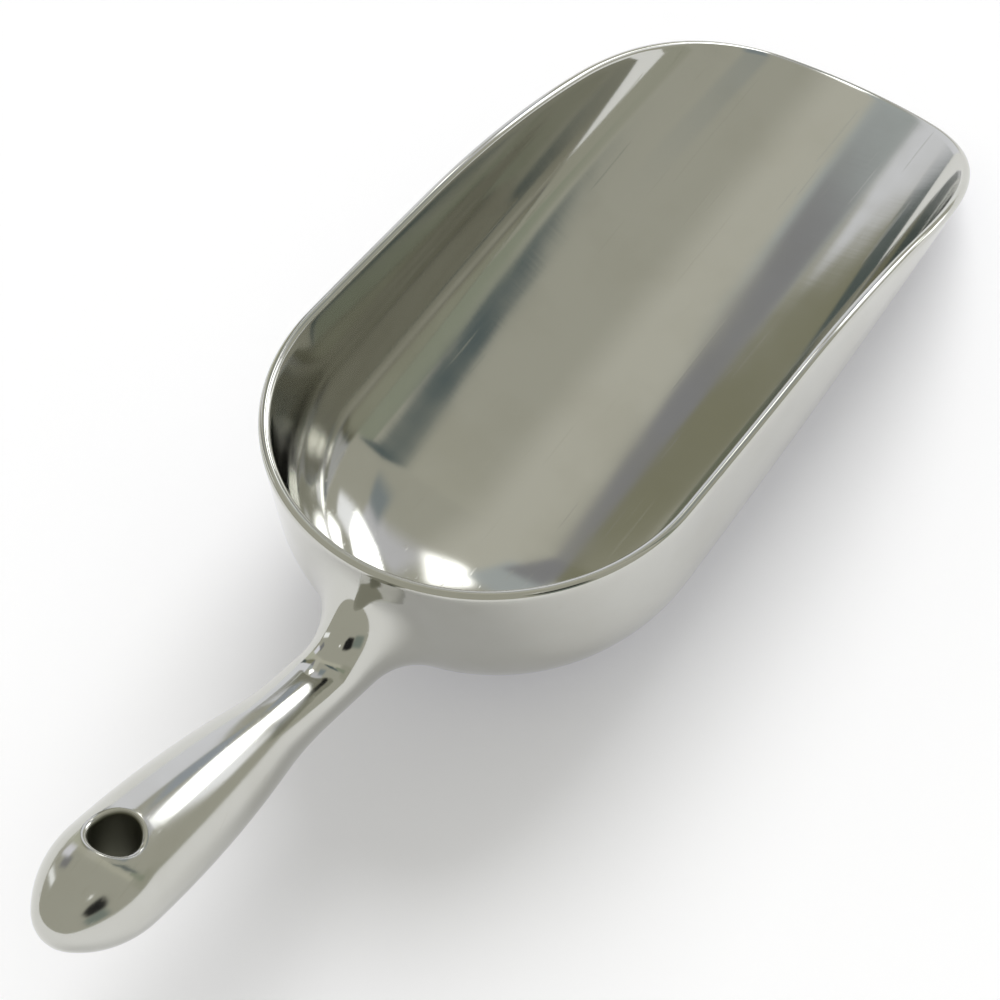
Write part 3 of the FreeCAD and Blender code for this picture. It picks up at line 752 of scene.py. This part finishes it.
# What the polished metal mirrors: soft-edged panels around the scoop, each with its corners, the
# softness of its edges and its light. A corner is a turn about the scoop's long axis, from overhead
# towards its left side, and a lean away from the pouring end's direction, all in degrees. Corners
# run the way that keeps a panel on the left of its edges, and a panel has no hollow corner.
ROOM = (0.505, 0.50, 0.43, 1)
PANELS = {
    "back wall": (((-62, 67), (62, 67), (62, 73), (-62, 73)), 3, (0.62, 0.61, 0.51, 1)),
    "back wall end": (((60, 66), (95, 60.5), (95, 73), (60, 73)), 2, (0.62, 0.63, 0.52, 1)),
    "ceiling light": (((11, 50), (33, 50), (38, 72), (13, 72)), 13, (0.65, 0.64, 0.565, 1)),
    "dim left wall": (((-120, 55), (-72, 55), (-66, 75), (-120, 75)), 6, (0.44, 0.44, 0.365, 1)),
    "sill": (((-26, 36), (14, 36), (14, 49), (-24, 47)), 7, (0.72, 0.72, 0.76, 1)),
    "window": (((-38, 26), (-20, 15), (21, 15), (16, 27), (0, 37), (-34, 37.5)), 5, (3.8, 3.85, 3.9, 1)),
    "window side": (((-62, 25), (-35, 22), (-35, 38), (-62, 36)), 6, (1.3, 1.31, 1.37, 1)),
    "low window": (((-100, 8), (-50, 8), (-54, 20), (-84, 22)), 5, (3.6, 3.65, 3.7, 1)),
    "lamp": (((12, 49), (22, 42.5), (27, 45), (30.5, 49), (23, 52)), 3.5, (3.8, 3.8, 3.8, 1)),
    "blue door": (((17, 27), (40, 24), (43, 37), (19, 38)), 3, (0.42, 0.46, 0.52, 1)),
    "shade": (((-24, 46), (-8, 45), (-8, 56.5), (-30, 57.5)), 7, (0.30, 0.34, 0.36, 1)),
    "pale wall": (((44, 30), (110, 40), (110, 57.5), (52, 58), (43.5, 57)), 1.5, (0.95, 0.96, 1.03, 1)),
    "shelf end": (((25, 50), (44, 50), (44, 60), (30, 60)), 3, (0.52, 0.56, 0.57, 1)),
    "shelf": (((30, 57), (43, 57.6), (46, 67), (38.5, 67)), 2.2, (0.32, 0.32, 0.34, 1)),
    "cupboard": (((44, 60), (50, 58.5), (76, 57.8), (83, 60), (68, 63), (52, 66), (42, 66.6)), 0.8,
                 (0.29, 0.285, 0.20, 1)),
    "cupboard end": (((70, 57.6), (100, 57.2), (100, 61.5), (78, 61.5)), 0.8, (0.10, 0.125, 0.12, 1)),
    "pale wall end": (((44, 56), (54, 57), (48, 59), (46.5, 58.8)), 0.8, (0.95, 0.96, 1.03, 1)),
    "wall below curtain": (((-78, 62), (-56, 64.3), (-52, 65), (-52, 68), (-78, 68)), 1,
                           (0.34, 0.37, 0.29, 1)),
    "dark curtain": (((-68, 62), (-35, 63), (-9, 66.5), (-30, 67), (-42, 66.6)), 0.5,
                     (0.10, 0.135, 0.145, 1)),
    "dim corner": (((-84, 104), (-64, 104), (-64, 124), (-84, 124)), 8, (0.26, 0.30, 0.27, 1)),
    "dark spot": (((-66, 102), (-58, 97), (-44, 97), (-41, 112), (-46, 120), (-62, 120)), 6,
                  (0.02, 0.02, 0.02, 1)),
    "small lamp": (((-32, 101), (-28, 101), (-28, 105), (-32, 105)), 1, (1.6, 1.6, 1.6, 1)),
    "cabinet": (((50, 80), (68, 80), (68, 89), (50, 89)), 2, (0.28, 0.28, 0.29, 1)),
    "side window": (((60, 72.5), (80, 72.5), (80, 81), (60, 81)), 2, (1.0, 1.0, 1.1, 1)),
    "far window": (((60, 98), (84, 88), (88, 92), (64, 103)), 2, (1.3, 1.32, 1.35, 1)),
}


def panel(nodes, turn, lean, corners, softness):
    """1 inside a soft-edged panel, 0 outside."""
    mask = None
    for first, last in zip(corners, corners[1:] + corners[:1]):
        step = (last[0] - first[0], last[1] - first[1])
        length = math.hypot(*step)
        depth = (lean - first[1]) * (step[0] / length) - (turn - first[0]) * (step[1] / length)
        inside = nodes.ramp(depth, -softness / 2, softness / 2)
        mask = inside if mask is None else mask * inside
    return mask


def make_world():
    """Even room light with the panels laid over it."""
    world = bpy.data.worlds.new("studio")
    bpy.context.scene.world = world
    nodes = Nodes(world)
    direction = nodes.add("ShaderNodeTexCoord", output="Generated")
    forward, left, up = [nodes.add("ShaderNodeSeparateXYZ", None, {0: direction}, output=axis)
                         for axis in ("X", "Y", "Z")]
    lean = forward.math("ARCCOSINE") * math.degrees(1)
    turn = left.math("ARCTAN2", up) * math.degrees(1)
    colour = ROOM
    for corners, softness, tone in PANELS.values():
        colour = nodes.mix(panel(nodes, turn, lean, corners, softness), colour, tone)
    background = nodes.add("ShaderNodeBackground", None, {"Color": colour, "Strength": 1})
    nodes.add("ShaderNodeOutputWorld", None, {"Surface": background})


bowl = make_bowl()
handle = make_handle()
metal = polished_aluminium()
for made, node in ((bowl, "bowl"), (handle, "handle")):
    made.data.materials.append(metal)
    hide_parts(node)
make_camera()
make_floor()
make_lamp()
make_world()
bpy.context.scene.view_settings.view_transform = "Standard"
